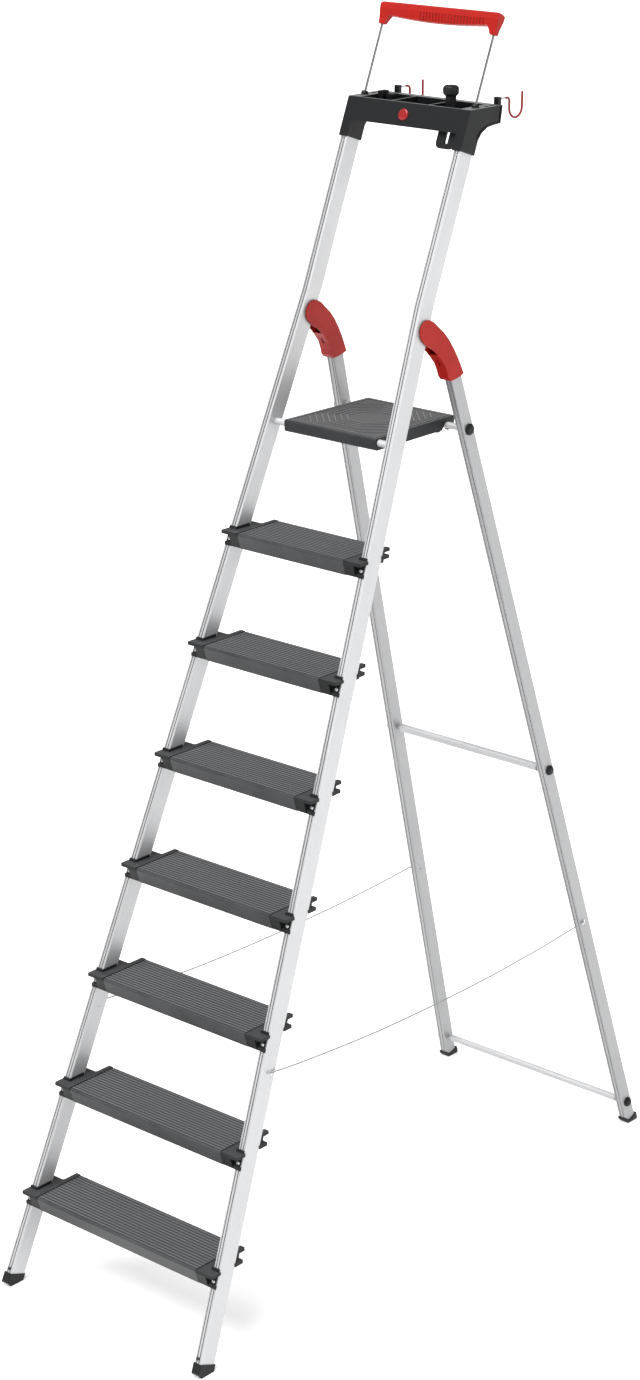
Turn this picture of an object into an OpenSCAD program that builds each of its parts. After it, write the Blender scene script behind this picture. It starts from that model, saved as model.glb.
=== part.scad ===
// Platform step ladder with seven treads, a standing platform, a handrail section with a tool tray
// and a pull-out grab handle.  Millimetres, +Z up, +Y towards the rear legs, +X to the climber's right.
// The origin is on the floor, at the middle of the ladder's footprint.

/* [Steps] */
// Height from one tread top to the next
step_rise = 221; // [216:0.5:226]
// Height of the lowest tread top above the floor
first_step = 202.5; // [195:0.5:210]
// Depth of a tread, front lip to back edge
tread_depth = 129.5; // [124:0.5:134]
// Height of a tread's box section
tread_height = 33; // [30:0.5:36]

/* [Front frame] */
// Lean of the front rails from upright, degrees
rail_lean = 22.15; // [21.5:0.05:22.8]
// Half the width over the front rails at floor level
base_half = 280.75; // [270:0.25:290]
// Inward run of a rail for each unit of height
splay = 0.0626; // [0.055:0.0002:0.068]
// Width of a front rail, seen from the front
rail_w = 17.5; // [16:0.5:19]
// Depth of a front rail, measured level
rail_d = 45.2; // [42:0.2:48]
// Wall thickness of every hollow profile
wall = 1.6; // [1.2:0.1:2]

/* [Rear frame] */
// Lean of the rear legs from upright, degrees
leg_lean = 16.75; // [16.5:0.05:17]
// Width of a rear leg, seen from the front
leg_w = 20; // [18:0.5:21]
// Depth of a rear leg, measured level
leg_d = 32.5; // [30:0.5:34]
// Distance from the rails' front face to the legs' front face at floor level
footprint = 1458; // [1454:1:1462]
// Diameter of both axles
axle_dia = 14; // [12:0.5:15]
// Diameter of the upper cross bar
bar_dia = 18; // [16:0.5:20]
// Diameter of the lower cross bar
low_bar_dia = 15; // [13:0.5:16]

/* [Platform] */
// Half the platform's width at its front edge
platform_half = 122; // [115:1:125]
// Depth of the platform
platform_depth = 257; // [250:1:260]
// Thickness of the platform over its rim
platform_thick = 26; // [24:0.5:28]

/* [Top tray and handle] */
// Height of the tray's rim above the floor
tray_top = 2373; // [2360:1:2385]
// Distance of the grab handle's top above the tray's rim
handle_rise = 178; // [170:1:186]
// Diameter of the two handle rods
rod_dia = 5; // [4.5:0.5:6]
// Diameter of the coated hook wire
hook_wire = 5; // [4.8:0.1:5.6]

/* [Safety cords] */
// Diameter of a safety cord
cord_dia = 3; // [2.5:0.5:3]

/* [Hidden] */

// shared small values
eps = 0.01;
fit = 0.15;
run_gap = 0.06;
sides = [-1, 1];
black = "#26282b";
red = "#c42a22";
silver = "#d9dbdc";

// front frame lines
lean_run = tan(rail_lean);
bend_z = 2000;
rail_top = tray_top - 8;
rail_foot = 6;
function rail_y(z) = z * lean_run;
function outer_x(z) = base_half - splay * min(z, bend_z);
function step_z(k) = first_step + (k - 1) * step_rise;

// rear frame lines
leg_run = tan(leg_lean);
leg_base_half = 276.5;
leg_splay = 0.0592;
leg_foot = 5;
leg_top = 1922;
function leg_y(z) = footprint - z * leg_run;
function leg_x(z) = leg_base_half - leg_splay * z;

// whole ladder: the footprint runs from the front feet's toes to the rear feet's heels
toe = 12;
foot_skin = 2.2;
front_reach = rail_y(toe) - foot_skin;
rear_reach = footprint + leg_d + 4.6;
mid_y = (front_reach + rear_reach) / 2;

// hinge and axle places, [y, z]
pivot = [831, 1951];
pivot_r = 4;
platform_top = step_z(8) - 1;
front_pin = [731, platform_top - 11];
rear_pin = [953, platform_top - 17];
axle_r = axle_dia / 2;
upper_bar_z = 935;
lower_bar_z = 55;

// tread end caps
cap_in = 43.4;
cap_gap = 0.5;
flange = 7;
nose = 24.5;
toe_drop = 9.5;
lug_back = 66;
lug_in = 27;
heel_in = 29;

// handle and rods
grip_half = 153;
grip_wide = 20;
grip_draft = 12;
rod_x = outer_x(bend_z) - 12;
rod_back = 29;
rod_top = tray_top + handle_rise - 16;
rod_low = 2200;

// tray
tray_half = outer_x(bend_z) + 3;
tray_in = outer_x(bend_z) - rail_w - 2.6;
tray_low = tray_top - 45;
tray_skin = 3;
tray_back = 1065;
sleeve_low = tray_top - 76;
hook_x = [-110, 148];
hook_z = tray_top + 10;
hook_start = 1066;

// ---------------------------------------------------------------- placing
// moves the working frame (rail front face at y = 0 on the floor) to the ladder's own origin
module in_frame() {
    translate([0, -mid_y, 0]) children();
}

// repeats its children on the left (-1) or the right (+1)
module on_side(s) {
    mirror([s < 0 ? 1 : 0, 0, 0]) children();
}

// a bar along X through the point p = [y, z]
module cross_cyl(p, r, x0, x1, fn = 48) {
    translate([x0, p[0], p[1]]) rotate([0, 90, 0]) cylinder(r = r, h = x1 - x0, $fn = fn);
}

// extrudes a [y, z] outline along X from x0 to x1
module across(x0, x1) {
    translate([x0, 0, 0]) rotate([90, 0, 90]) linear_extrude(x1 - x0) children();
}

// extrudes a level outline from z0 to z1 while it drifts by dx and dy for each unit of height
module drift(z0, z1, dx, dy) {
    multmatrix([[1, 0, dx, -dx * z0], [0, 1, dy, -dy * z0], [0, 0, 1, 0]])
        translate([0, 0, z0]) linear_extrude(z1 - z0) children();
}

// ---------------------------------------------------------------- front rails
// level section of a rail: inner face at x = 0, front face at y = 0, a groove beside each front corner
module rail_section(w, d) {
    lip = 4.5;
    groove = 2;
    deep = 1.8;
    corner = 2.2;
    polygon([[lip + groove, 0], [w - lip - groove, 0], [w - lip - groove, deep], [w - lip, deep],
        [w - lip, 0], [w - corner, 0.1], [w - 0.7, 0.8], [w, corner], [w, d - 1], [w - 1, d], [1, d],
        [0, d - 1], [0, corner], [0.7, 0.8], [corner, 0.1], [lip, 0], [lip, deep], [lip + groove, deep]]);
}

module rail_hollow(w, d) {
    translate([wall, wall + 1.4]) square([w - 2 * wall, d - 2 * wall - 1.4]);
}

module rail_run(z0, z1, lean_in) {
    translate([outer_x(z0) - rail_w, rail_y(z0), 0]) drift(z0, z1, -lean_in, lean_run) children();
}

// the space a rail takes, grown by c on every side, between two heights below the bend
module rail_space(z0, z1, c, lean_in) {
    rail_run(z0, z1, lean_in) translate([-c, -c]) square([rail_w + 2 * c, rail_d + 2 * c]);
}

// children stood on the right rail's front face where tread k is riveted, +z out of the face
module at_rivet(k) {
    z = step_z(k) - 20;
    translate([outer_x(z) - 9, rail_y(z), z]) rotate([90 - rail_lean, 0, 0]) children();
}

module rail(s) {
    color(silver) on_side(s) difference() {
        union() {
            rail_run(rail_foot, bend_z, splay) difference() {
                rail_section(rail_w, rail_d);
                rail_hollow(rail_w, rail_d);
            }
            rail_run(bend_z, rail_top, 0) difference() {
                rail_section(rail_w, rail_d);
                rail_hollow(rail_w, rail_d);
            }
        }
        cross_cyl(pivot, pivot_r, outer_x(pivot[1]) - 30, outer_x(pivot[1]) + 10);
        cross_cyl(front_pin, axle_r, outer_x(front_pin[1]) - 30, outer_x(front_pin[1]) - 5);
        cross_cyl(cord_anchor, 1.5, outer_x(cord_anchor[1]) - 30, outer_x(cord_anchor[1]) + 10, 24);
        for (k = [1 : 7]) {
            at_rivet(k) cylinder(r = 2, h = 14, center = true, $fn = 24);
        }
    }
}

// ---------------------------------------------------------------- treads
// [y, z] outline of a tread box, rail front face at y = 0 and tread top at z = 0
module tread_outline(skin = 0) {
    back = tread_depth - nose;
    polygon([[-nose + 3 + skin, -skin], [-nose + 1 + skin, -1 - skin], [-nose + skin, -4],
        [-nose + toe_drop + skin, -tread_height + skin], [back - 6 - skin, -tread_height + skin],
        [back - skin, -3], [back - 1 - skin, -skin]]);
}

module tread(k) {
    half = outer_x(step_z(k)) - cap_in - cap_gap;
    ridges = 14;
    pitch = (tread_depth - 8) / ridges;
    color("#74787b") translate([0, rail_y(step_z(k)), step_z(k)]) across(-half, half) {
        difference() {
            translate([0, -0.8]) tread_outline();
            offset(delta = -wall) tread_outline();
        }
        for (i = [0 : ridges - 1]) {
            translate([-nose + 4 + (i + 0.2) * pitch, -1]) square([0.6 * pitch, 1]);
        }
        for (rib = [8, 40, 72]) {
            translate([rib, -tread_height]) square([wall, tread_height - 1]);
        }
    }
}

// the part of a tread's [y, z] outline in front of y = back, with its skin taken off
module cap_section(back, skin) {
    intersection() {
        tread_outline(skin);
        translate([-nose, -tread_height]) square([nose + back, tread_height]);
    }
}

// level outline of an end cap's top flange for the right side: inner edge on x = -cap_in, a nose that
// wraps the rail's front, the lug behind the rail and the narrower heel
module cap_top_plate() {
    back = tread_depth - nose;
    offset(r = 1.5, $fn = 16) offset(delta = -1.5)
        polygon([[-cap_in, -nose], [1.5, -nose], [1.5, 2], [-2, 2], [-2, 42], [2, 42], [2, lug_back],
            [-lug_in, lug_back], [-heel_in, lug_back + 4], [-heel_in, back], [-cap_in, back]]);
}

// level outline of the cap's bottom flange, which stops behind the rail's front
module cap_low_plate() {
    front = nose - toe_drop;
    offset(r = 1.5, $fn = 16) offset(delta = -1.5)
        polygon([[-cap_in, -front], [1.5, -front], [1.5, -8], [-rail_w, -8], [-rail_w, 52],
            [-cap_in, 52]]);
}

// low collar against the rail's front and inner faces
module cap_collar() {
    drift(0, 5, 0, lean_run) polygon([[-rail_w - 3, -3], [-1, -3], [-1, 4], [-rail_w, 4],
        [-rail_w, 38], [-rail_w - 3, 38]]);
}

module cap(s, k) {
    z = step_z(k);
    body_back = lug_back - 8;
    web_low = -tread_height + 2;
    color(black) on_side(s) difference() {
        translate([outer_x(z), rail_y(z), z]) {
            translate([0, 0, -flange]) linear_extrude(flange) cap_top_plate();
            translate([0, 0, -tread_height]) linear_extrude(flange) cap_low_plate();
            cap_collar();
            // hollow body that carries on the tread's section up to the rail
            difference() {
                across(-cap_in, -rail_w - 1) cap_section(body_back, 0);
                across(-cap_in - eps, -heel_in - 4) cap_section(body_back - 3, 3);
            }
            // plate that closes the tread's end behind the body
            across(-cap_in, -cap_in + 2) difference() {
                tread_outline();
                cap_section(body_back - 3, 0);
            }
            // web over the rail's front face, which the rivet goes through
            drift(web_low, -2, 0, lean_run)
                translate([-cap_in + 3, web_low * lean_run - 3]) square([cap_in - 5, 4]);
        }
        // step along the joint with the tread
        translate([outer_x(z) - cap_in - eps, rail_y(z) - nose - 1, z - 2.5])
            cube([2.5, tread_depth + 2, 4]);
        rail_space(z - 60, z + 20, fit, splay);
        at_rivet(k) cylinder(r = 2, h = 14, center = true, $fn = 24);
    }
}

module tread_rivets() {
    color(silver) for (s = sides, k = [1 : 7]) on_side(s) at_rivet(k) {
        translate([0, 0, -4]) cylinder(r = 2, h = 8, $fn = 24);
        translate([0, 0, 3]) cylinder(r1 = 4, r2 = 2.6, h = 1.8, $fn = 32);
    }
}

// ---------------------------------------------------------------- front feet
module front_foot(s) {
    inner_skin = 1.2;
    color(black) on_side(s) difference() {
        intersection() {
            rail_run(-5, 60, splay) translate([-inner_skin, -foot_skin]) offset(r = 2, $fn = 16)
                offset(delta = -2) square([rail_w + foot_skin + inner_skin, rail_d + 2 * foot_skin]);
            // keeps what is below the line square to the rail, with a rounded toe
            across(0, base_half + 30) difference() {
                translate([rail_y(10), 12]) rotate(-rail_lean) translate([-30, -60]) square([120, 79]);
                translate([-40, 0]) difference() {
                    square([40 + front_reach + toe, toe]);
                    translate([40 + front_reach + toe, toe]) circle(r = toe, $fn = 48);
                }
                translate([-60, -60]) square([160, 60]);
            }
        }
        rail_space(rail_foot, 70, 0, splay);
        // clearance for the screw head on the rail above the lip
        translate([outer_x(38) - 9, rail_y(38) - 2, 38]) rotate([90, 0, 0]) cylinder(r = 5, h = 12,
            center = true, $fn = 32);
    }
}

module front_foot_studs() {
    color(black) for (s = sides) on_side(s) translate([outer_x(38) - 9, rail_y(38), 38])
        rotate([90 - rail_lean, 0, 0]) {
            cylinder(r = 3.4, h = 3, $fn = 32);
            translate([0, 0, -2]) cylinder(r = 1.8, h = 3, $fn = 24);
        }
}

// ---------------------------------------------------------------- pins and axles of the front frame
module front_axle() {
    reach = outer_x(front_pin[1]) - 5.5;
    color(silver) difference() {
        cross_cyl(front_pin, axle_r, -reach, reach, 64);
        cross_cyl(front_pin, axle_r - wall, -reach - 1, reach + 1, 64);
    }
}

module pivot_pins() {
    color(silver) for (s = sides) on_side(s) cross_cyl(pivot, pivot_r, cheek_in - 1.3, cheek_out + 1.3);
}

// ---------------------------------------------------------------- tool tray
// [y, z] outline of a tray cheek: sleeve over the rail in front, arm with a hollow underside behind
module cheek_outline() {
    front = 3;
    behind = rail_d + 1.6;
    low = tray_top - 91;
    polygon([[rail_y(tray_top) - front, tray_top], [rail_y(sleeve_low) - front, sleeve_low],
        [rail_y(low) + behind, low], [rail_y(low + 28) + behind, tray_top - 62],
        [rail_y(tray_low) + behind + 4, tray_top - 49], [1017, tray_top - 39.5],
        [1036, tray_top - 37], [tray_back - 6, tray_top - 36], [tray_back, tray_top - 2],
        [tray_back - 1, tray_top]]);
}

module tray() {
    floor_z = tray_low + 4;
    color(black) difference() {
        union() {
            for (s = sides) on_side(s) across(tray_in, tray_half) cheek_outline();
            // bin between the cheeks
            across(-tray_in - 1, tray_in + 1) polygon([[rail_y(tray_top) - 3, tray_top],
                [rail_y(tray_low) - 3, tray_low], [tray_back - 6, tray_top - 36],
                [tray_back, tray_top - 2], [tray_back - 1, tray_top]]);
            // lugs on the rear wall that carry the hook pins
            for (x = hook_x) translate([x - 6, hook_start - 9, tray_top - 14])
                cube([12, 9, hook_z - tray_top + 19]);
        }
        // three open compartments
        for (x = [[-129, -50], [-46, 46], [50, 129]]) {
            translate([x[0], 0, 0]) across(0, x[1] - x[0]) polygon([
                [rail_y(tray_top) + 2, tray_top + eps], [rail_y(floor_z) + 2, floor_z + 8],
                [rail_y(floor_z) + 8, floor_z + 2], [tray_back - 26, floor_z + 8],
                [tray_back - 20, floor_z + 14], [tray_back - 20, tray_top + eps]]);
        }
        for (s = sides) on_side(s) {
            // socket for the rail and the passage for the handle rod
            rail_space(bend_z, rail_top, 0, 0);
            translate([rod_x, rail_y(rail_top) + rod_back, rail_top]) rotate([-rail_lean, 0, 0])
                cylinder(r = 7, h = 40, center = true, $fn = 48);
            // the arm's side stands back from the sleeve's
            across(tray_half - 1.8, tray_half + 1) polygon([[rail_y(tray_top) + rail_d - 6, tray_top - 3],
                [rail_y(tray_top - 62) + rail_d - 6, tray_top - 62], [rail_y(tray_low) + rail_d + 5,
                tray_top - 46], [1017, tray_top - 36], [1036, tray_top - 34], [tray_back - 8, tray_top - 33],
                [tray_back - 3, tray_top - 3]]);
        }
        // round and oblong tool holes in each arm
        for (s = sides) on_side(s) {
            translate([rod_x + 3, tray_back - 21, tray_top - 60]) cylinder(r = 4.5, h = 80, $fn = 32);
            translate([rod_x - 1, tray_back - 42, tray_top - 50]) cube([8, 10, 60]);
        }
        for (x = hook_x) translate([x, hook_start + 1, hook_z]) rotate([90, 0, 0])
            cylinder(r = 2 + run_gap, h = 8, $fn = 32);
    }
}

module tray_badge() {
    z = tray_top - 23;
    color(red) translate([-6, rail_y(z) - 3, z]) rotate([90 - rail_lean, 0, 0]) {
        cylinder(r = 12, h = 1.4, $fn = 64);
        translate([0, 0, 1.4]) cylinder(r1 = 10.5, r2 = 9, h = 1, $fn = 64);
    }
}

module tray_peg() {
    color(black) translate([74, rail_y(tray_top) + 39, tray_low + 5]) rotate_extrude($fn = 64)
        polygon([[0, 0], [15, 0], [13, 8], [11, 34], [11, 56], [13, 58], [16, 61], [16.5, 70], [15.5, 74],
            [12, 77], [0, 78]]);
}

module tray_clip() {
    x0 = -128;
    y0 = tray_back - 46;
    color(black) translate([x0, y0, tray_low + 8]) {
        cube([38, 20, 26]);
        translate([0, 0, 25]) cube([13, 20, 19]);
        translate([22, 0, 25]) cube([16, 20, 14]);
    }
}

// strap loop that hangs under the fascia beside the right sleeve
module tray_loop() {
    x0 = tray_in - 53;
    z0 = tray_low - 34;
    color(black) translate([x0, rail_y(z0) + 9, z0]) multmatrix([[1, 0, 0, 0], [0, 1, lean_run, 0],
        [0, 0, 1, 0]]) rotate([90, 0, 0]) translate([0, 0, -6]) linear_extrude(6) difference() {
            union() {
                translate([0, 12]) square([47, 29]);
                translate([12, 0]) square([23, 14]);
                for (x = [12, 35]) {
                    translate([x, 12]) circle(r = 12, $fn = 48);
                }
            }
            translate([21, 13]) square([8, 18]);
            for (z = [13, 31]) {
                translate([25, z]) circle(r = 4, $fn = 32);
            }
        }
}

module tray_rivets() {
    z = sleeve_low - 8;
    color(silver) for (s = sides) on_side(s) translate([outer_x(z) - rail_w / 2, rail_y(z), z])
        rotate([90 - rail_lean, 0, 0]) cylinder(r1 = 3.4, r2 = 2.2, h = 1.8, $fn = 32);
}

module rod_collars() {
    color(black) for (s = sides) on_side(s) translate([rod_x, rail_y(tray_top) + rod_back, tray_top])
        rotate([-rail_lean, 0, 0]) difference() {
            union() {
                translate([0, 0, -10]) cylinder(r = 7, h = 12, $fn = 48);
                translate([0, 0, 2]) cylinder(r1 = 8, r2 = 6.5, h = 5, $fn = 48);
            }
            translate([0, 0, -11]) cylinder(r = rod_dia / 2 + run_gap, h = 30, $fn = 48);
        }
}

// ---------------------------------------------------------------- pull-out handle
// places its children on a rod's axis, z measured along the rod from the tray's rim
module on_rod() {
    translate([0, rail_y(tray_top) + rod_back, tray_top]) rotate([-rail_lean, 0, 0]) children();
}

module handle_rods() {
    up = (rod_top - tray_top) / cos(rail_lean);
    down = (tray_top - rod_low) / cos(rail_lean);
    color(silver) for (s = sides) on_side(s) on_rod() translate([rod_x, 0, -down])
        cylinder(r = rod_dia / 2, h = up + down, $fn = 48);
}

// distance of the grip's underside below its top at x
function grip_depth(x) = 27 + 6 * cos(x * 90 / (grip_half - 26));

// front outline of the grip: straight back, ears over the rods, palm swell between them
module grip_outline(top) {
    ear = 45;
    reach = grip_half - 26;
    swell = [for (i = [12 : -1 : -12]) let (x = i * reach / 12) [x, top - grip_depth(x)]];
    polygon(concat([[-grip_half, top - 5], [-grip_half + 6, top], [grip_half - 6, top],
        [grip_half, top - 5], [grip_half - 3, top - ear], [grip_half - 16, top - ear]], swell,
        [[-grip_half + 16, top - ear], [-grip_half + 3, top - ear]]));
}

// [y, z] section of the grip below its top: upright sides above, drawn in below
module grip_section() {
    half = grip_wide / 2;
    polygon([[-half, 0], [half, 0], [half, -14], [half - 20 * tan(grip_draft), -34], [half - 5, -50],
        [half - 5, -70], [5 - half, -70], [5 - half, -50], [20 * tan(grip_draft) - half, -34],
        [-half, -14]]);
}

module grip() {
    top = handle_rise / cos(rail_lean);
    bevel = 4;
    color(red) on_rod() difference() {
        intersection() {
            rotate([90, 0, 0]) linear_extrude(grip_wide, center = true) grip_outline(top);
            translate([-grip_half - 1, 0, top]) rotate([90, 0, 90]) linear_extrude(2 * grip_half + 2)
                offset(r = bevel, $fn = 32) offset(delta = -bevel) grip_section();
        }
        // finger ribs down both drawn-in faces
        for (x = [-44 : 8 : 116], s = sides) {
            translate([x, s * 7.7, top - 26]) rotate([s * -grip_draft, 0, 0])
                cylinder(r = 1.9, h = 22, center = true, $fn = 16);
        }
        for (s = sides) on_side(s) translate([rod_x, 0, top - 60]) cylinder(r = rod_dia / 2, h = 60
            - (top - (rod_top - tray_top) / cos(rail_lean)), $fn = 48);
    }
}

// ---------------------------------------------------------------- swivelling bucket hooks
module hook_pin(x) {
    color(silver) translate([x, hook_start - 6.5, hook_z]) rotate([-90, 0, 0])
        cylinder(r = 2, h = 30.5, $fn = 32);
}

// part of a ring of round wire that lies in the plane x = 0
module wire_arc(c, r, from, sweep) {
    translate([0, c[0], c[1]]) rotate([90, 0, 90]) rotate([0, 0, from])
        rotate_extrude(angle = sweep, $fn = 64) translate([r, 0]) circle(r = hook_wire / 2, $fn = 32);
}

module hook(x) {
    start_y = hook_start + 22;
    turn = 8;
    bowl = 21;
    drop = 13;
    tip = 27;
    leg1_y = start_y + 4 + turn;
    bowl_z = hook_z - turn - drop;
    wire_r = hook_wire / 2;
    color(red) translate([x, 0, 0]) {
        difference() {
            translate([0, start_y - 2, hook_z]) rotate([-90, 0, 0]) cylinder(r = wire_r, h = 6, $fn = 32);
            translate([0, start_y - 3, hook_z]) rotate([-90, 0, 0]) cylinder(r = 2, h = 5, $fn = 32);
        }
        wire_arc([start_y + 4, hook_z - turn], turn, 0, 90);
        translate([0, leg1_y, bowl_z]) cylinder(r = wire_r, h = drop, $fn = 32);
        wire_arc([leg1_y + bowl, bowl_z], bowl, 180, 180);
        translate([0, leg1_y + 2 * bowl, bowl_z]) cylinder(r = wire_r, h = tip, $fn = 32);
        translate([0, leg1_y + 2 * bowl, bowl_z + tip]) sphere(r = wire_r, $fn = 32);
    }
}

// ---------------------------------------------------------------- rear legs
module leg(s) {
    color(silver) on_side(s) difference() {
        translate([leg_x(leg_foot) - leg_w, leg_y(leg_foot), 0])
            drift(leg_foot, leg_top, -leg_splay, -leg_run) difference() {
                rail_section(leg_w, leg_d);
                rail_hollow(leg_w, leg_d);
            }
        for (p = [[bar_y(rear_pin[1]), rear_pin[1], axle_r], [bar_y(upper_bar_z), upper_bar_z, 5],
                [bar_y(lower_bar_z), lower_bar_z, 4]]) {
            cross_cyl([p[0], p[1]], p[2], leg_x(p[1]) - 40, leg_x(p[1]) + 20);
        }
        cross_cyl(leg_anchor, 1.5, leg_x(leg_anchor[1]) - 40, leg_x(leg_anchor[1]) + 10, 24);
        // top end cut to the inside of the hinge cover
        across(leg_x(leg_top) - 40, leg_x(leg_top) + 40) difference() {
            translate([leg_y(leg_top) - 40, 1852]) square([150, 120]);
            cover_space();
        }
    }
}

// y of the middle of a rear leg at height z
function bar_y(z) = leg_y(z) + leg_d / 2;
cord_anchor = [rail_y(566) + 24, 566];
leg_anchor = [leg_y(549) + 12, 549];

// ---------------------------------------------------------------- hinge covers
cheek_in = 138.6;
cheek_out = 161;
cover_skin = 2.6;

// [y, z] outline of a hinge cover: round eye over the pivot, curved back, square foot over the leg
module cover_outline() {
    eye = 24;
    polygon(concat(
        [for (a = [225 : -15 : 60]) [pivot[0] + eye * cos(a), pivot[1] + eye * sin(a)]],
        [[852, 1967], [864, 1956.5], [881, 1942.5], [896, 1926], [911, 1904.5], [924, 1882],
            [935, 1860], [939.5, 1850], [932, 1847], [914, 1842.5], [898, 1841], [891, 1848.5],
            [887, 1861], [879.5, 1877], [867, 1892], [855, 1904], [843, 1914], [828, 1922]]));
}

// [y, z] outline of the space between a cover's two cheeks, open to the front and below
module cover_space() {
    polygon([[780, 1995], [861, 1995], [850, 1966], [861, 1955], [878, 1940.5], [893, 1924],
        [908, 1903], [920.5, 1881], [931.5, 1859], [936, 1849], [933, 1825], [860, 1825], [780, 1900]]);
}

// [y, z] outline of the pads that hold the leg between the cheeks
module cover_pad() {
    polygon([[leg_y(1895) + 2, 1895], [leg_y(1895) + 20, 1888], [leg_y(1848) + leg_d - 4, 1852],
        [leg_y(1848) + 2, 1848]]);
}

// [y, z] outline of the wall between the cheeks in front of the leg
module cover_front() {
    polygon([[898, 1841], [891, 1848.5], [887, 1861], [879.5, 1877], [867, 1892], [861, 1898.5],
        [864, 1900.5], [870, 1894], [882.5, 1878.5], [890, 1862], [893.5, 1850], [899, 1844]]);
}

module hinge_cover(s) {
    color(red) on_side(s) difference() {
        multmatrix([[1, 0, -leg_splay, leg_splay * pivot[1]], [0, 1, 0, 0], [0, 0, 1, 0]]) {
            difference() {
                across(cheek_in - cover_skin, cheek_out + cover_skin) cover_outline();
                across(cheek_in, cheek_out) cover_space();
            }
            across(cheek_in - eps, cheek_out - leg_w) cover_pad();
            // front wall in front of the leg, with a slot
            difference() {
                across(cheek_in - eps, cheek_out + eps) cover_front();
                translate([cheek_in + 9, 870, 1874]) cube([4, 22, 12]);
            }
        }
        // blind seats of the pivot pin
        cross_cyl(pivot, pivot_r + run_gap, cheek_in - 1.5, cheek_out + 1.5);
    }
}

// ---------------------------------------------------------------- rear axle, cross bars and caps
module rear_axle() {
    z = rear_pin[1];
    reach = leg_x(z) + 0.5;
    color(silver) difference() {
        cross_cyl([bar_y(z), z], axle_r, -reach, reach, 64);
        cross_cyl([bar_y(z), z], axle_r - wall, -reach - 1, reach + 1, 64);
    }
}

// cross bar with reduced ends that pass through the legs
module cross_bar(z, dia, end_dia) {
    shoulder = leg_x(z) - leg_w - 10;
    reach = leg_x(z) + 1;
    color(silver) {
        cross_cyl([bar_y(z), z], dia / 2, -shoulder, shoulder, 64);
        for (s = sides) on_side(s) cross_cyl([bar_y(z), z], end_dia / 2, shoulder - 1, reach);
    }
}

module bar_caps() {
    color(black) for (s = sides, z = [rear_pin[1], upper_bar_z, lower_bar_z]) {
        r = z > 1000 ? 12 : 11;
        on_side(s) translate([leg_x(z) + 0.9, bar_y(z), z]) rotate([0, 90, 0]) {
            cylinder(r = r, h = 3, $fn = 48);
            translate([0, 0, 3]) cylinder(r1 = r, r2 = r - 3, h = 3.5, $fn = 48);
            translate([0, 0, 6.5]) cylinder(r1 = r - 3, r2 = r - 7, h = 1.2, $fn = 48);
        }
    }
}

module rear_foot(s) {
    skin = 2;
    color(black) on_side(s) difference() {
        intersection() {
            translate([leg_x(-5) - leg_w, leg_y(-5), 0]) drift(-5, 40, -leg_splay, -leg_run)
                translate([-skin, -skin]) square([leg_w + 2 * skin, leg_d + 2 * skin + 9]);
            across(0, leg_base_half + 30) polygon([[footprint - 20, 5], [footprint - 2, 5],
                [footprint + 3, 0], [rear_reach - 3, 0], [rear_reach, 3], [rear_reach - 4, 17],
                [footprint + 8, 8], [footprint - 3, 13], [footprint - 20, 13]]);
        }
        translate([leg_x(leg_foot) - leg_w, leg_y(leg_foot), 0])
            drift(leg_foot, 60, -leg_splay, -leg_run) square([leg_w, leg_d]);
    }
}

// ---------------------------------------------------------------- platform
nose_r = 10;
rim = 3;
taper = 6;
deck_front = front_pin[0] - nose_r;
deck_back = deck_front + platform_depth;
deck_z = platform_top - 1;

// level outline of the deck, drawn in by c on every side
module deck_plan(c) {
    polygon([[-platform_half + c, deck_front + c], [platform_half - c, deck_front + c],
        [platform_half - taper - c, deck_back - c], [-platform_half + taper + c, deck_back - c]]);
}

// thin deck with a deep rim, a solid nose on the front axle and a raised pattern
module platform() {
    rim_z = platform_top - platform_thick;
    color("#6b6f72") {
        difference() {
            union() {
                intersection() {
                    across(-platform_half, platform_half) polygon([[deck_front, rim_z + 3],
                        [deck_front + 3, rim_z], [deck_back, rim_z], [deck_back, deck_z],
                        [deck_front + 3, deck_z], [deck_front, deck_z - 3]]);
                    translate([0, 0, rim_z - 10]) linear_extrude(60) deck_plan(0);
                }
                translate([0, 0, deck_z - 1]) linear_extrude(2) deck_relief();
            }
            // hollow underside behind the solid nose
            translate([0, 0, rim_z - 1]) linear_extrude(platform_thick - 3) difference() {
                deck_plan(rim);
                translate([-platform_half, deck_front]) square([2 * platform_half, 26]);
            }
            cross_cyl(front_pin, axle_r + run_gap, -platform_half - 10, platform_half + 10, 64);
            axle_notch(0.5);
        }
    }
}

// eight-sided outline round the middle of the deck, reach across and the same front to back
module octagon(reach) {
    cut = 0.42 * reach;
    polygon([[reach, cut], [cut, reach], [-cut, reach], [-reach, cut], [-reach, -cut], [-cut, -reach],
        [cut, -reach], [reach, -cut]]);
}

// raised pattern of the standing surface: a frame, nested eight-sided rings and corner brackets
module deck_relief() {
    bar = 3;
    difference() {
        deck_plan(8);
        deck_plan(8 + bar);
    }
    intersection() {
        deck_plan(18);
        translate([0, (deck_front + deck_back) / 2]) {
            for (reach = [48 : 13 : 87]) difference() {
                octagon(reach);
                octagon(reach - bar);
            }
            for (turn = [45 : 90 : 315]) rotate(turn) for (out = [96 : 13 : 122])
                translate([out, -40]) square([bar, 80]);
        }
    }
}

// clearance of the rear axle under the platform, r larger than the axle
module axle_notch(c) {
    r = axle_r + c;
    across(-platform_half - 1, platform_half + 1) {
        hull() {
            translate([bar_y(rear_pin[1]), rear_pin[1]]) circle(r = r, $fn = 64);
            translate([bar_y(rear_pin[1]) - 20, rear_pin[1] - 30]) circle(r = r, $fn = 64);
        }
        translate([bar_y(rear_pin[1]) - 8, rear_pin[1] - 40]) square([8 + r, 40]);
    }
}

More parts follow.
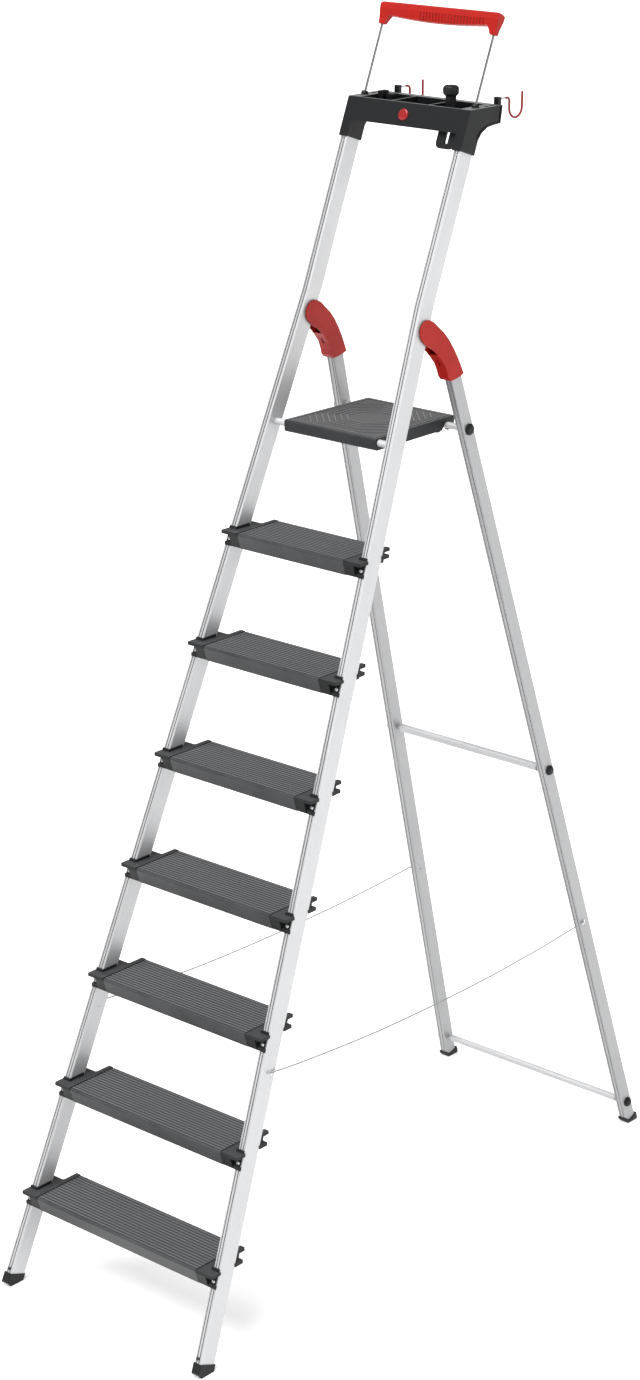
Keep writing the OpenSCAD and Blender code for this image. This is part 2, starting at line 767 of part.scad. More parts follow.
// two saddles under the platform's sides that sit on the rear axle and hook behind it
module platform_shoes() {
    y0 = bar_y(rear_pin[1]) - 26;
    color(black) for (s = sides) on_side(s) difference() {
        translate([platform_half - 17, y0, platform_top - platform_thick - 4]) cube([8, 44, platform_thick]);
        axle_notch(0.35);
    }
}

// ---------------------------------------------------------------- safety cords
// route of the right-hand cord outside the rail and the leg, hung with a little slack
cord_path = [[250, 262, 566], [250, 272, 566], [250, 285, 564], [250, 340, 558], [250, 420, 551],
    [250, 500, 545], [250, 580, 540], [250, 660, 537], [250, 740, 535], [250, 820, 534],
    [250, 900, 534], [250, 980, 535], [249, 1060, 537], [249, 1140, 540], [248, 1210, 544],
    [248, 1260, 547], [248, 1290, 549], [248, 1297, 549]];
cord_sides = 8;

// ring of points round path point i, square to the path there
function ring(path, i) =
    let (a = path[max(i - 1, 0)], b = path[min(i + 1, len(path) - 1)], d = (b - a) / norm(b - a),
        u = cross([1, 0, 0], d) / norm(cross([1, 0, 0], d)), v = cross(d, u))
    [for (j = [0 : cord_sides - 1]) let (t = 360 * j / cord_sides)
        path[i] + cord_dia / 2 * (cos(t) * u + sin(t) * v)];

module cord(s) {
    n = len(cord_path);
    points = [for (i = [0 : n - 1]) each ring(cord_path, i)];
    walls = [for (i = [0 : n - 2], j = [0 : cord_sides - 1]) let (k = (j + 1) % cord_sides)
        [i * cord_sides + j, i * cord_sides + k, (i + 1) * cord_sides + k, (i + 1) * cord_sides + j]];
    ends = [[for (j = [cord_sides - 1 : -1 : 0]) j],
        [for (j = [0 : cord_sides - 1]) (n - 1) * cord_sides + j]];
    color("#b9bcbe") on_side(s) polyhedron(points, concat(walls, ends));
}

// rivet, washer and eye that hold a cord's end against a rail or leg at the point p = [y, z]
module cord_eye(p, face_x, turn) {
    color(silver) {
        cross_cyl(p, 1.5, face_x - 14, face_x + 1, 24);
        cross_cyl(p, 5, face_x + 0.2, face_x + 1.4, 32);
        cross_cyl(p, 3, face_x + 1, face_x + 2.6, 32);
        translate([face_x + 2, p[0] + turn * 4, p[1] - 2]) cube([5, 7, 4], center = true);
    }
}

module cord_eyes_front() {
    for (s = sides) on_side(s) cord_eye(cord_anchor, outer_x(cord_anchor[1]), 1);
}

module cord_eyes_rear() {
    for (s = sides) on_side(s) cord_eye(leg_anchor, leg_x(leg_anchor[1]), -1);
}

in_frame() rail(-1);  // rail_left
in_frame() rail(1);  // rail_right
in_frame() tread(1);  // tread_1
in_frame() tread(2);  // tread_2
in_frame() tread(3);  // tread_3
in_frame() tread(4);  // tread_4
in_frame() tread(5);  // tread_5
in_frame() tread(6);  // tread_6
in_frame() tread(7);  // tread_7
in_frame() cap(-1, 1);  // cap_left_1
in_frame() cap(-1, 2);  // cap_left_2
in_frame() cap(-1, 3);  // cap_left_3
in_frame() cap(-1, 4);  // cap_left_4
in_frame() cap(-1, 5);  // cap_left_5
in_frame() cap(-1, 6);  // cap_left_6
in_frame() cap(-1, 7);  // cap_left_7
in_frame() cap(1, 1);  // cap_right_1
in_frame() cap(1, 2);  // cap_right_2
in_frame() cap(1, 3);  // cap_right_3
in_frame() cap(1, 4);  // cap_right_4
in_frame() cap(1, 5);  // cap_right_5
in_frame() cap(1, 6);  // cap_right_6
in_frame() cap(1, 7);  // cap_right_7
in_frame() tread_rivets();
in_frame() front_foot(-1);  // front_foot_left
in_frame() front_foot(1);  // front_foot_right
in_frame() front_foot_studs();
in_frame() front_axle();
in_frame() pivot_pins();
in_frame() cord_eyes_front();
in_frame() tray();
in_frame() tray_badge();
in_frame() tray_peg();
in_frame() tray_clip();
in_frame() tray_loop();
in_frame() tray_rivets();
in_frame() rod_collars();
in_frame() handle_rods();
in_frame() grip();
in_frame() hook_pin(hook_x[0]);  // hook_pin_left
in_frame() hook(hook_x[0]);  // hook_left
in_frame() hook_pin(hook_x[1]);  // hook_pin_right
in_frame() hook(hook_x[1]);  // hook_right
in_frame() leg(-1);  // leg_left
in_frame() leg(1);  // leg_right
in_frame() hinge_cover(-1);  // hinge_cover_left
in_frame() hinge_cover(1);  // hinge_cover_right
in_frame() rear_axle();
in_frame() cross_bar(upper_bar_z, bar_dia, 10);  // upper_bar
in_frame() cross_bar(lower_bar_z, low_bar_dia, 8);  // lower_bar
in_frame() bar_caps();
in_frame() rear_foot(-1);  // rear_foot_left
in_frame() rear_foot(1);  // rear_foot_right
in_frame() cord_eyes_rear();
in_frame() platform();
in_frame() platform_shoes();
in_frame() cord(-1);  // cord_left
in_frame() cord(1);  // cord_right
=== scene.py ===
"""Looks of the platform step ladder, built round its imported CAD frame.

Metres, +Z up, +Y towards the rear legs, +X to the right of someone who climbs it.
"""

import math

import bmesh
import bpy
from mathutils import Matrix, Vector


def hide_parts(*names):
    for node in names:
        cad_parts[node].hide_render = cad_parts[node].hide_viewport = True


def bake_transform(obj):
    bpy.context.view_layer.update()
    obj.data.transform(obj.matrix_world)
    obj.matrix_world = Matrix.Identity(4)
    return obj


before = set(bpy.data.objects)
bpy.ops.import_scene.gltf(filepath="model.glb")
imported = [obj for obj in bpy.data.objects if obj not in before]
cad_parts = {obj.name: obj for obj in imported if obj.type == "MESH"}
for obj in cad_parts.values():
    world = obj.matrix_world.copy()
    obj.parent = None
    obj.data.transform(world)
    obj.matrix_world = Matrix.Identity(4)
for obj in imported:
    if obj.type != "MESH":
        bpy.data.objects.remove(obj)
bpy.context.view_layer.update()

SIDES = {"left": -1, "right": 1}  # the sign of X

# driving sizes of the frame, as in the CAD model
FRAME_SHIFT = 0.748892  # the rails' front face at floor level lies this far in front of the origin
RAIL_LEAN = math.radians(22.15)
LEG_LEAN = math.radians(16.75)
RAIL_SPLAY = 0.0626  # each rail nears the middle by this much per metre of height
LEG_SPLAY = 0.0592
BEND_HEIGHT = 2.0  # the rails run parallel above it
RAIL_OUTER = 0.28075  # a rail's outer face at floor level, from the middle
RAIL_WIDTH = 0.0175
GROOVE_PLACE = 0.00325  # a front groove's middle, from the middle of the rail's front face
# painted shade in the rails' front groove channels: this half width, fading in between these depths
GROOVE_HALF = 0.0012  # half the width shaded as a groove
GROOVE_SHADE_FROM, GROOVE_SHADE_FULL = 0.0002, 0.0008  # depths behind the front face
FIRST_STEP = 0.2025
STEP_RISE = 0.221
RIDGE_FROM, RIDGE_FULL = -0.0006, -0.0002  # heights from a tread's top where its ridges begin and end
# below these heights the level faces of the deck and the tray take painted shade; above them, painted light
DECK_RELIEF = 1.7479  # height at which the platform's raised lines begin
TRAY_RIM = 2.3720  # height at which the tray's upper rim begins
RELIEF_STEP = 0.0003
CORD_WIDTH = 0.003

# fine across a profile, long along it
PROFILE_LINES = (1400.0, 1400.0, 5.0)
BAR_LINES = (6.0, 1100.0, 1100.0)
TREAD_LINES = (5.0, 900.0, 900.0)
WIRE_LINES = (500.0, 500.0, 10.0)
BRAID_STRANDS = 4  # each way round the cord
BRAID_PITCH = 3.2  # millimetres of cord to one turn of the pattern

# colours that more than one moulding shares: the plain one and the one its flow marks run to
BLACK, BLACK_DEEP = (0.009, 0.0095, 0.0105), (0.005, 0.0055, 0.006)
WHITE = (1.0, 1.0, 1.0, 1.0)

EDGE_ROUND = 0.0008
EDGE_SEGMENTS = 2
EDGE_ANGLE = 38.0  # degrees; flatter edges stay as they are
WELD_DISTANCE = 0.00002


# ------------------------------------------------------------------ camera
CAMERA_PLACE = (3.9226, -4.5674, 3.2709)
CAMERA_PITCH, CAMERA_TURN = 70.885, 41.013  # degrees
CAMERA_LENS, CAMERA_SENSOR = 79.92, 36.0  # millimetres
CAMERA_REACH = 200.0


def make_camera():
    """In front of the ladder and to its right, looking down on it by about 19 degrees."""
    data = bpy.data.cameras.new("camera")
    data.lens = CAMERA_LENS
    data.sensor_width = CAMERA_SENSOR
    data.clip_end = CAMERA_REACH
    camera = bpy.data.objects.new("camera", data)
    camera.location = CAMERA_PLACE
    camera.rotation_euler = (math.radians(CAMERA_PITCH), 0.0, math.radians(CAMERA_TURN))
    bpy.context.scene.collection.objects.link(camera)
    bpy.context.scene.camera = camera


# ------------------------------------------------------------------ mesh helpers
def add_mesh(name, bm, material, smooth_angle=40.0):
    """A new object from bm, shaded smooth below the angle in degrees."""
    data = bpy.data.meshes.new(name)
    bm.normal_update()
    bm.to_mesh(data)
    bm.free()
    piece = bpy.data.objects.new(name, data)
    bpy.context.scene.collection.objects.link(piece)
    data.materials.append(material)
    shade(piece, smooth_angle)
    return piece


def shade(piece, smooth_angle):
    """Smooth all over, with edges sharper than the angle in degrees kept sharp."""
    for polygon in piece.data.polygons:
        polygon.use_smooth = True
    piece.data.set_sharp_from_angle(angle=math.radians(smooth_angle))


def catmull_rom(points, steps):
    """A smooth line through the points, with the given number of steps between two of them."""
    ends = [2 * points[0] - points[1], *points, 2 * points[-1] - points[-2]]
    line = []
    for i in range(1, len(ends) - 2):
        a, b, c, d = ends[i - 1:i + 3]
        for k in range(steps):
            t = k / steps
            line.append(0.5 * (2 * b + (c - a) * t + (2 * a - 5 * b + 4 * c - d) * t ** 2
                               + (3 * b - a - 3 * c + d) * t ** 3))
    line.append(points[-1])
    return line


# ------------------------------------------------------------------ safety cords
# route of the right-hand cord outside rail and leg: X, Y from the rails' front foot, height
CORD_ROUTE = [
    (0.250, 0.262, 0.566), (0.250, 0.272, 0.566), (0.250, 0.285, 0.564), (0.250, 0.340, 0.558),
    (0.250, 0.420, 0.551), (0.250, 0.500, 0.545), (0.250, 0.580, 0.540), (0.250, 0.660, 0.537),
    (0.250, 0.740, 0.535), (0.250, 0.820, 0.534), (0.250, 0.900, 0.534), (0.250, 0.980, 0.535),
    (0.249, 1.060, 0.537), (0.249, 1.140, 0.540), (0.248, 1.210, 0.544), (0.248, 1.260, 0.547),
    (0.248, 1.290, 0.549), (0.248, 1.297, 0.549)]
CORD_AROUND = 12  # sides of the tube
CORD_STEPS = 8  # rings from one point of the route to the next


def cord_tube(name, line, material):
    """A braided tube along the line, with its length in millimetres and its turn as texture coordinates."""
    bm = bmesh.new()
    layer = bm.loops.layers.uv.new("braid")
    rings, travelled = [], [0.0]
    for i, point in enumerate(line):
        ahead = (line[min(i + 1, len(line) - 1)] - line[max(i - 1, 0)]).normalized()
        across = ahead.cross(Vector((1, 0, 0))).normalized()
        side = ahead.cross(across)
        turns = [2 * math.pi * k / CORD_AROUND for k in range(CORD_AROUND)]
        rings.append([bm.verts.new(point + CORD_WIDTH / 2 * (math.cos(t) * across + math.sin(t) * side))
                      for t in turns])
        if i:
            travelled.append(travelled[-1] + (point - line[i - 1]).length * 1000)
    for i in range(len(rings) - 1):
        for k in range(CORD_AROUND):
            n = (k + 1) % CORD_AROUND
            face = bm.faces.new((rings[i][k], rings[i][n], rings[i + 1][n], rings[i + 1][k]))
            corners = ((i, k), (i, k + 1), (i + 1, k + 1), (i + 1, k))
            for loop, (ring, turn) in zip(face.loops, corners):
                loop[layer].uv = (turn / CORD_AROUND, travelled[ring])
    bm.faces.new(reversed(rings[0]))
    bm.faces.new(rings[-1])
    bmesh.ops.recalc_face_normals(bm, faces=bm.faces)
    return add_mesh(name, bm, material)


def make_cords(material):
    """The two cords, each from its eye on the front rail to its eye on the rear leg."""
    for word, side in SIDES.items():
        points = [Vector((side * x, y - FRAME_SHIFT, z)) for x, y, z in CORD_ROUTE]
        line = catmull_rom(points, CORD_STEPS)
        tube = cord_tube("safety_cord_" + word, line, material)
        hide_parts("cord_" + word)
        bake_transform(tube)


# ------------------------------------------------------------------ node helpers
def new_material(name):
    """(material, its node tree, its principled shader)."""
    material = bpy.data.materials.new(name)
    material.use_nodes = True
    tree = material.node_tree
    return material, tree, tree.nodes["Principled BSDF"]


def add_node(tree, kind, settings=(), **inputs):
    """A node of the kind; settings are its properties, inputs are values or sockets by input name."""
    made = tree.nodes.new("ShaderNode" + kind)
    for key, value in dict(settings).items():
        setattr(made, key, value)
    for key, value in inputs.items():
        socket = made.inputs[int(key[1:])] if key[0] == "i" and key[1:].isdigit() else made.inputs[key]
        if isinstance(value, bpy.types.NodeSocket):
            tree.links.new(value, socket)
        else:
            socket.default_value = value
    return made


def maths(tree, operation, a, b=0.0):
    """The socket of a Math node; a and b are numbers or sockets."""
    return add_node(tree, "Math", {"operation": operation}, i0=a, i1=b).outputs[0]


def object_place(tree):
    """A point's place in the frame, in metres."""
    return add_node(tree, "TexCoord").outputs["Object"]


def scaled(tree, place, scale):
    """The place multiplied by the scale, axis by axis."""
    return add_node(tree, "VectorMath", {"operation": "MULTIPLY"}, i0=place, i1=scale).outputs[0]


def noise(tree, place, scale, detail=3.0, roughness=0.55):
    """The grey value of a noise texture."""
    made = add_node(tree, "TexNoise", Vector=place, Scale=scale, Detail=detail, Roughness=roughness)
    return made.outputs["Fac"]


def ramp(tree, factor, low, high, from_low=0.3, from_high=0.7):
    """The factor moved from its own span to the span low to high, clamped."""
    made = add_node(tree, "MapRange", Value=factor)
    made.inputs["From Min"].default_value = from_low
    made.inputs["From Max"].default_value = from_high
    made.inputs["To Min"].default_value = low
    made.inputs["To Max"].default_value = high
    return made.outputs["Result"]


def mixed_colour(tree, factor, first, second):
    """Between two colours, each a triple or a socket."""
    made = add_node(tree, "Mix", {"data_type": "RGBA"}, Factor=factor)
    for socket, value in ((made.inputs[6], first), (made.inputs[7], second)):
        if isinstance(value, bpy.types.NodeSocket):
            tree.links.new(value, socket)
        else:
            socket.default_value = (*value, 1.0)
    return made.outputs[2]


def bump(tree, height, distance, strength=1.0, normal=None):
    """The normal of a fine relief, laid over another one where it is given."""
    made = add_node(tree, "Bump", Height=height, Strength=strength, Distance=distance)
    if normal is not None:
        tree.links.new(normal, made.inputs["Normal"])
    return made.outputs["Normal"]


def connect(tree, shader, **sockets):
    """Links sockets to the shader's inputs; an underscore stands for a space in an input's name."""
    for key, socket in sockets.items():
        tree.links.new(socket, shader.inputs[key.replace("_", " ")])


# ------------------------------------------------------------------ materials
def section_place(tree, splay, run, bend=None):
    """A point's place in the section of a leaning, splayed profile, so that streaks follow its length."""
    parts = add_node(tree, "SeparateXYZ", Vector=object_place(tree)).outputs
    height = maths(tree, "MINIMUM", parts[2], bend) if bend else parts[2]
    across = maths(tree, "ADD", maths(tree, "ABSOLUTE", parts[0]), maths(tree, "MULTIPLY", height, splay))
    depth = maths(tree, "SUBTRACT", parts[1], maths(tree, "MULTIPLY", parts[2], run))
    return add_node(tree, "CombineXYZ", X=across, Y=depth, Z=parts[2]).outputs[0]


def painted_groove_shade(tree, place):
    """1 where shade is painted inside the two lengthwise groove channels of a rail's front face, fading in
    with depth.
    """
    parts = add_node(tree, "SeparateXYZ", Vector=place).outputs
    off_middle = maths(tree, "ABSOLUTE", maths(tree, "SUBTRACT", parts[0], RAIL_OUTER - RAIL_WIDTH / 2))
    off_groove = maths(tree, "ABSOLUTE", maths(tree, "SUBTRACT", off_middle, GROOVE_PLACE))
    inside = maths(tree, "LESS_THAN", off_groove, GROOVE_HALF)
    depth = maths(tree, "ADD", parts[1], FRAME_SHIFT)
    shade_here = ramp(tree, depth, 0.0, 1.0, GROOVE_SHADE_FROM, GROOVE_SHADE_FULL)
    return maths(tree, "MULTIPLY", inside, shade_here)


def aluminium(name, place_of, stretch, tone=0.52, rough=0.36, groove_shade=None):
    """Matt anodised profile: fine die lines along it, faint clouding and a few hairline scratches."""
    material, tree, shader = new_material(name)
    shader.inputs["Metallic"].default_value = 0.55
    shader.inputs["Anisotropic"].default_value = 0.35
    place = place_of(tree)
    lines = noise(tree, scaled(tree, place, stretch), 1.0, detail=4.0, roughness=0.7)
    clouds = noise(tree, object_place(tree), 9.0, detail=4.0)
    scratches = noise(tree, scaled(tree, place, [v * 0.35 for v in stretch]), 1.0, detail=8.0, roughness=0.9)
    light, dark = (tone, tone * 1.005, tone * 1.015), (tone * 0.90, tone * 0.905, tone * 0.92)
    streaked = mixed_colour(tree, ramp(tree, lines, 0.0, 1.0), light, dark)
    clouded = mixed_colour(tree, ramp(tree, clouds, 0.0, 0.35), streaked, dark)
    scratch = ramp(tree, scratches, 0.0, 0.5, from_low=0.66, from_high=0.74)
    colour = mixed_colour(tree, scratch, clouded, (tone * 1.08, tone * 1.08, tone * 1.09))
    # painted shade: the rails' groove channels are darkened to about a fifth of the tone
    if groove_shade:
        colour = mixed_colour(tree, groove_shade(tree, place), colour, (tone * 0.22, tone * 0.22, tone * 0.23))
    gloss = maths(tree, "ADD", ramp(tree, lines, rough, rough + 0.14), ramp(tree, clouds, -0.04, 0.05))
    connect(tree, shader, Base_Color=colour, Roughness=gloss,
            Normal=bump(tree, lines, 0.00012, 0.35))
    return material


def rail_aluminium():
    """The rails: they bend at BEND_HEIGHT, and shade is painted into the groove channels of their front
    face.
    """
    return aluminium("rail_aluminium", lambda tree: section_place(
        tree, RAIL_SPLAY, math.tan(RAIL_LEAN), BEND_HEIGHT), PROFILE_LINES, groove_shade=painted_groove_shade)


def leg_aluminium():
    """The rear legs: straight, and a darker grey than the rails."""
    return aluminium("leg_aluminium", lambda tree: section_place(
        tree, LEG_SPLAY, -math.tan(LEG_LEAN)), PROFILE_LINES, tone=0.36)


def bar_aluminium():
    """The cross bars and axles: level, and duller."""
    return aluminium("bar_aluminium", object_place, BAR_LINES, tone=0.52, rough=0.62)


def facing_up(tree):
    """1 on level upper faces, where painted light goes; 0 on upright faces and undersides."""
    normal = add_node(tree, "SeparateXYZ", Vector=add_node(tree, "TexCoord").outputs["Normal"]).outputs[2]
    return ramp(tree, normal, 0.0, 1.0, from_low=0.75, from_high=0.95)


def ridge_tops(tree):
    """1 on the tops of the treads' ridges, 0 in the valleys between them, where shade is painted."""
    height = add_node(tree, "SeparateXYZ", Vector=object_place(tree)).outputs[2]
    above = maths(tree, "MODULO", maths(tree, "SUBTRACT", height, FIRST_STEP - STEP_RISE / 2), STEP_RISE)
    return ramp(tree, maths(tree, "SUBTRACT", above, STEP_RISE / 2), 0.0, 1.0, RIDGE_FROM, RIDGE_FULL)


def tread_coating():
    """Dark grey coating on the tread extrusions: orange peel and speckle; its level tops are a painted lit
    copy, lighter than the painted-shaded upright faces, and painted shade fills the valleys between the
    ridges.
    """
    material, tree, shader = new_material("tread_coating")
    shader.inputs["Metallic"].default_value = 0.25
    place = object_place(tree)
    speckle = noise(tree, place, 900.0, detail=2.0)
    lines = noise(tree, scaled(tree, place, TREAD_LINES), 1.0, detail=3.0)
    clouds = noise(tree, place, 14.0, detail=4.0)
    # painted light: a lit copy of the coating for level tops and a shaded copy, about a sixth as bright, for
    # upright faces
    painted_lit_top = mixed_colour(tree, ramp(tree, lines, 0.0, 1.0), (0.098, 0.100, 0.104), (0.136, 0.138, 0.142))
    painted_shaded_sides = mixed_colour(tree, ramp(tree, lines, 0.0, 1.0), (0.015, 0.016, 0.017), (0.024, 0.025, 0.027))
    # painted shade in the valleys between the ridges, at about a third of the top's colour
    valley_shaded_top = mixed_colour(tree, ridge_tops(tree), (0.036, 0.037, 0.039), painted_lit_top)
    streaked = mixed_colour(tree, facing_up(tree), painted_shaded_sides, valley_shaded_top)
    colour = mixed_colour(tree, ramp(tree, clouds, 0.0, 0.4), streaked, (0.070, 0.072, 0.075))
    rough = maths(tree, "ADD", ramp(tree, speckle, 0.38, 0.50), ramp(tree, clouds, -0.03, 0.05))
    peel = bump(tree, speckle, 0.00025, 0.5)
    connect(tree, shader, Base_Color=colour, Roughness=rough, Normal=bump(tree, lines, 0.00015, 0.4, peel))
    return material


def moulded(name, colour, deep, rough, grain=1400.0, depth=0.0002, coat=0.0,
            painted_top_colour=None, raised_from=None, valley_shade=0.45):
    """Moulded plastic: a fine spark-eroded grain over slow flow marks in colour and gloss.

    Level upper faces can take a painted lit colour, a lighter copy of the plastic where light falls on them;
    below raised_from they darken by a factor to painted shade in the hollows between raised lines.
    """
    material, tree, shader = new_material(name)
    shader.inputs["Coat Weight"].default_value = coat
    shader.inputs["Coat Roughness"].default_value = 0.22
    shader.inputs["Specular IOR Level"].default_value = 0.20
    place = object_place(tree)
    texture = noise(tree, place, grain, detail=2.0, roughness=0.6)
    flow = noise(tree, place, 22.0, detail=5.0, roughness=0.6)
    tint = mixed_colour(tree, ramp(tree, flow, 0.0, 1.0), colour, deep)
    # painted light: level upper faces get a lighter, lit copy of the colour, with painted shade below
    # raised_from
    if painted_top_colour:
        painted_top_tint = mixed_colour(tree, ramp(tree, flow, 0.0, 1.0), painted_top_colour, [v * 0.85 for v in painted_top_colour])
        if raised_from:
            height = add_node(tree, "SeparateXYZ", Vector=place).outputs[2]
            raised = ramp(tree, height, 0.0, 1.0, raised_from, raised_from + RELIEF_STEP)
            painted_top_tint = mixed_colour(tree, raised, [v * valley_shade for v in painted_top_colour], painted_top_tint)
        tint = mixed_colour(tree, facing_up(tree), tint, painted_top_tint)
    pores = add_node(tree, "TexVoronoi", Vector=place, Scale=grain * 0.8).outputs["Distance"]
    slow = ramp(tree, flow, rough - 0.05, rough + 0.05)
    gloss = maths(tree, "ADD", slow, ramp(tree, texture, -0.04, 0.06))
    fine = bump(tree, texture, depth, 0.5)
    relief = bump(tree, pores, depth * 0.6, 0.3, fine)
    connect(tree, shader, Base_Color=tint, Roughness=gloss, Normal=relief)
    return material


def drawn_steel(name, place_of=object_place, stretch=WIRE_LINES, tone=0.66):
    """Zinc plated wire, pins and rivets: drawing lines and a faint blue grey mottle."""
    material, tree, shader = new_material(name)
    shader.inputs["Metallic"].default_value = 0.92
    place = place_of(tree)
    lines = noise(tree, scaled(tree, place, stretch), 1.0, detail=3.0)
    mottle = noise(tree, object_place(tree), 180.0, detail=3.0)
    light, dark = (tone, tone, tone * 1.02), (tone * 0.72, tone * 0.73, tone * 0.76)
    colour = mixed_colour(tree, ramp(tree, mottle, 0.0, 0.8), light, dark)
    rough = maths(tree, "ADD", ramp(tree, lines, 0.20, 0.34), ramp(tree, mottle, -0.03, 0.05))
    connect(tree, shader, Base_Color=colour, Roughness=rough, Normal=bump(tree, lines, 0.0001, 0.4))
    return material


def braided_cord():
    """Grey braid: two sets of strands that cross over each other round the cord, with painted shade where
    they dip.
    """
    material, tree, shader = new_material("braided_cord")
    shader.inputs["Roughness"].default_value = 0.85
    shader.inputs["Sheen Weight"].default_value = 0.3
    parts = add_node(tree, "SeparateXYZ", Vector=add_node(tree, "TexCoord").outputs["UV"]).outputs
    turn = maths(tree, "MULTIPLY", parts[0], 2 * math.pi * BRAID_STRANDS)
    along = maths(tree, "MULTIPLY", parts[1], 2 * math.pi / BRAID_PITCH)
    first = maths(tree, "SINE", maths(tree, "ADD", turn, along))
    second = maths(tree, "SINE", maths(tree, "SUBTRACT", turn, along))
    strands = maths(tree, "MAXIMUM", first, second)
    raised = ramp(tree, strands, 0.0, 1.0, from_low=-0.2, from_high=0.9)
    # painted shade: the braid's colour darkens where the strands dip between the crossings
    colour = mixed_colour(tree, raised, (0.14, 0.145, 0.15), (0.30, 0.305, 0.31))
    connect(tree, shader, Base_Color=colour, Normal=bump(tree, strands, 0.0003, 0.8))
    return material


# the start of a node's name, and its material; the longest start that fits counts
SUITS = {
    "rail_": "rail", "leg_": "leg", "tread_": "tread", "tread_rivets": "steel", "cap_": "cap",
    "front_foot_": "black", "front_foot_studs": "dark", "rear_foot_": "black", "bar_caps": "black",
    "tray": "tray", "tray_": "black", "tray_badge": "badge", "tray_rivets": "steel",
    "platform": "deck", "platform_shoes": "black", "hinge_cover_": "red", "pivot_pins": "steel",
    "front_axle": "bar", "rear_axle": "bar", "upper_bar": "bar", "lower_bar": "bar",
    "grip": "red", "handle_rods": "rod", "rod_collars": "black",
    "hook_": "wire", "hook_pin_": "steel", "cord_": "cord", "cord_eyes_": "steel"}


def dress(materials):
    """Gives every CAD node its material."""
    for name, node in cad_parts.items():
        start = max((key for key in SUITS if name.startswith(key)), key=len)
        node.data.materials.clear()
        node.data.materials.append(materials[SUITS[start]])


# starts of the names of the mouldings with rounded edges: the tray itself isn't among them, since a
# bevel collapses on its smallest faces, and nor is the right front foot
ROUNDED = ("cap_", "rear_foot_", "front_foot_left", "hinge_cover_", "tray_", "grip", "platform")


def soften(name):
    """Rounds a CAD node's edges, with modifiers that leave its mesh as it is."""
    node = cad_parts[name]
    weld = node.modifiers.new("weld", "WELD")
    weld.merge_threshold = WELD_DISTANCE
    edge = node.modifiers.new("edges", "BEVEL")
    edge.width = EDGE_ROUND
    edge.segments = EDGE_SEGMENTS
    edge.limit_method = "ANGLE"
    edge.angle_limit = math.radians(EDGE_ANGLE)
    edge.harden_normals = True
    edge.miter_outer = "MITER_ARC"


def soften_all():
    """Rounds the edges of every node named in ROUNDED."""
    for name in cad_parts:
        if name.startswith(ROUNDED):
            soften(name)


# ------------------------------------------------------------------ stage
FLOOR_SIZE = 60.0
FLOOR_GLOW = 0.42
WORLD_GLOW = 0.42
# azimuth and elevation in degrees, strength, softness in degrees
KEY_SUN = (-12.0, 62.0, 4.9, 50.0)
FILL_SUN = (95.0, 14.0, 1.1, 40.0)


def make_floor():
    """A pale, even floor that runs out of view on every side."""
    material, tree, shader = new_material("studio_floor")
    place = object_place(tree)
    cloud = noise(tree, place, 0.6, detail=2.0)
    colour = mixed_colour(tree, cloud, (0.70, 0.70, 0.70), (0.73, 0.73, 0.73))
    connect(tree, shader, Base_Color=colour)
    shader.inputs["Roughness"].default_value = 0.9
    shader.inputs["Emission Color"].default_value = WHITE
    shader.inputs["Emission Strength"].default_value = FLOOR_GLOW
    bm = bmesh.new()
    bmesh.ops.create_grid(bm, x_segments=4, y_segments=4, size=FLOOR_SIZE)
    floor = add_mesh("floor", bm, material)


def make_sun(name, azimuth, elevation, strength, softness):
    """A broad soft light from the azimuth in degrees: 0 is in front of the ladder, 90 on its right."""
    data = bpy.data.lights.new(name, "SUN")
    data.energy = strength
    data.angle = math.radians(softness)
    sun = bpy.data.objects.new(name, data)
    a, e = math.radians(azimuth), math.radians(elevation)
    back = Vector((math.sin(a) * math.cos(e), -math.cos(a) * math.cos(e), math.sin(e)))
    sun.rotation_mode = "QUATERNION"
    sun.rotation_quaternion = (-back).to_track_quat("-Z", "Y")
    bpy.context.scene.collection.objects.link(sun)


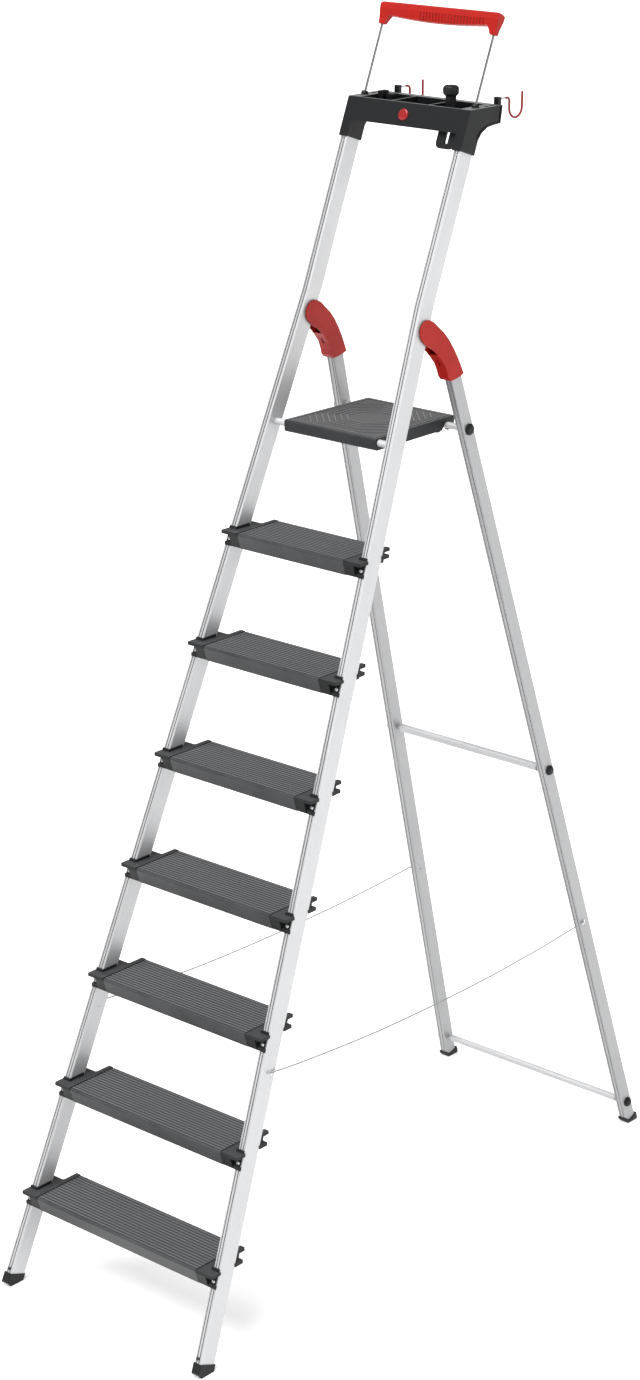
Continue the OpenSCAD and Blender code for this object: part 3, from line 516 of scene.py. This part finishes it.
def make_light():
    """An even white surround with a key light from the front and a weak fill from the right."""
    world = bpy.data.worlds.new("studio")
    world.use_nodes = True
    background = world.node_tree.nodes["Background"]
    background.inputs["Color"].default_value = WHITE
    background.inputs["Strength"].default_value = WORLD_GLOW
    bpy.context.scene.world = world
    bpy.context.scene.view_settings.view_transform = "Standard"
    make_sun("key", *KEY_SUN)
    make_sun("fill", *FILL_SUN)


# ------------------------------------------------------------------ the ladder
def make_materials():
    """Every material of the ladder, under the names that SUITS uses."""
    return {
        "rail": rail_aluminium(), "leg": leg_aluminium(), "bar": bar_aluminium(), "tread": tread_coating(),
        "black": moulded("black_plastic", BLACK, BLACK_DEEP, 0.44),
        # deck: level upper faces are a painted lit copy, about eight times as light as the sides, with
        # painted shade between its raised lines
        "deck": moulded("deck_plastic", (0.020, 0.021, 0.023), (0.014, 0.015, 0.016), 0.50,
                        painted_top_colour=(0.160, 0.162, 0.166), raised_from=DECK_RELIEF),
        # tray: a painted highlight on the level top of its rim above TRAY_RIM, and painted shade on level
        # faces below it
        "tray": moulded("tray_plastic", BLACK, BLACK_DEEP, 0.40,
                        painted_top_colour=(0.150, 0.152, 0.156), raised_from=TRAY_RIM, valley_shade=0.08),
        # caps: their level upper faces take a lighter, painted lit copy of the black
        "cap": moulded("cap_plastic", BLACK, BLACK_DEEP, 0.44, painted_top_colour=(0.040, 0.041, 0.043)),
        "red": moulded("red_plastic", (0.34, 0.007, 0.003), (0.28, 0.005, 0.002), 0.42, depth=0.0001),
        "badge": moulded("badge_enamel", (0.26, 0.010, 0.010), (0.22, 0.008, 0.008), 0.22,
                         depth=0.00005, coat=0.5),
        "wire": moulded("red_dipped_wire", (0.22, 0.009, 0.012), (0.17, 0.007, 0.009), 0.30,
                        grain=500.0, depth=0.00015, coat=0.25),
        "steel": drawn_steel("plated_steel"),
        "rod": drawn_steel("drawn_rod", lambda tree: section_place(tree, 0.0, math.tan(RAIL_LEAN)),
                           tone=0.20),
        "dark": drawn_steel("blackened_steel", tone=0.10),
        "cord": braided_cord()}


make_camera()
MATERIALS = make_materials()
make_cords(MATERIALS["cord"])
dress(MATERIALS)
soften_all()
make_floor()
make_light()
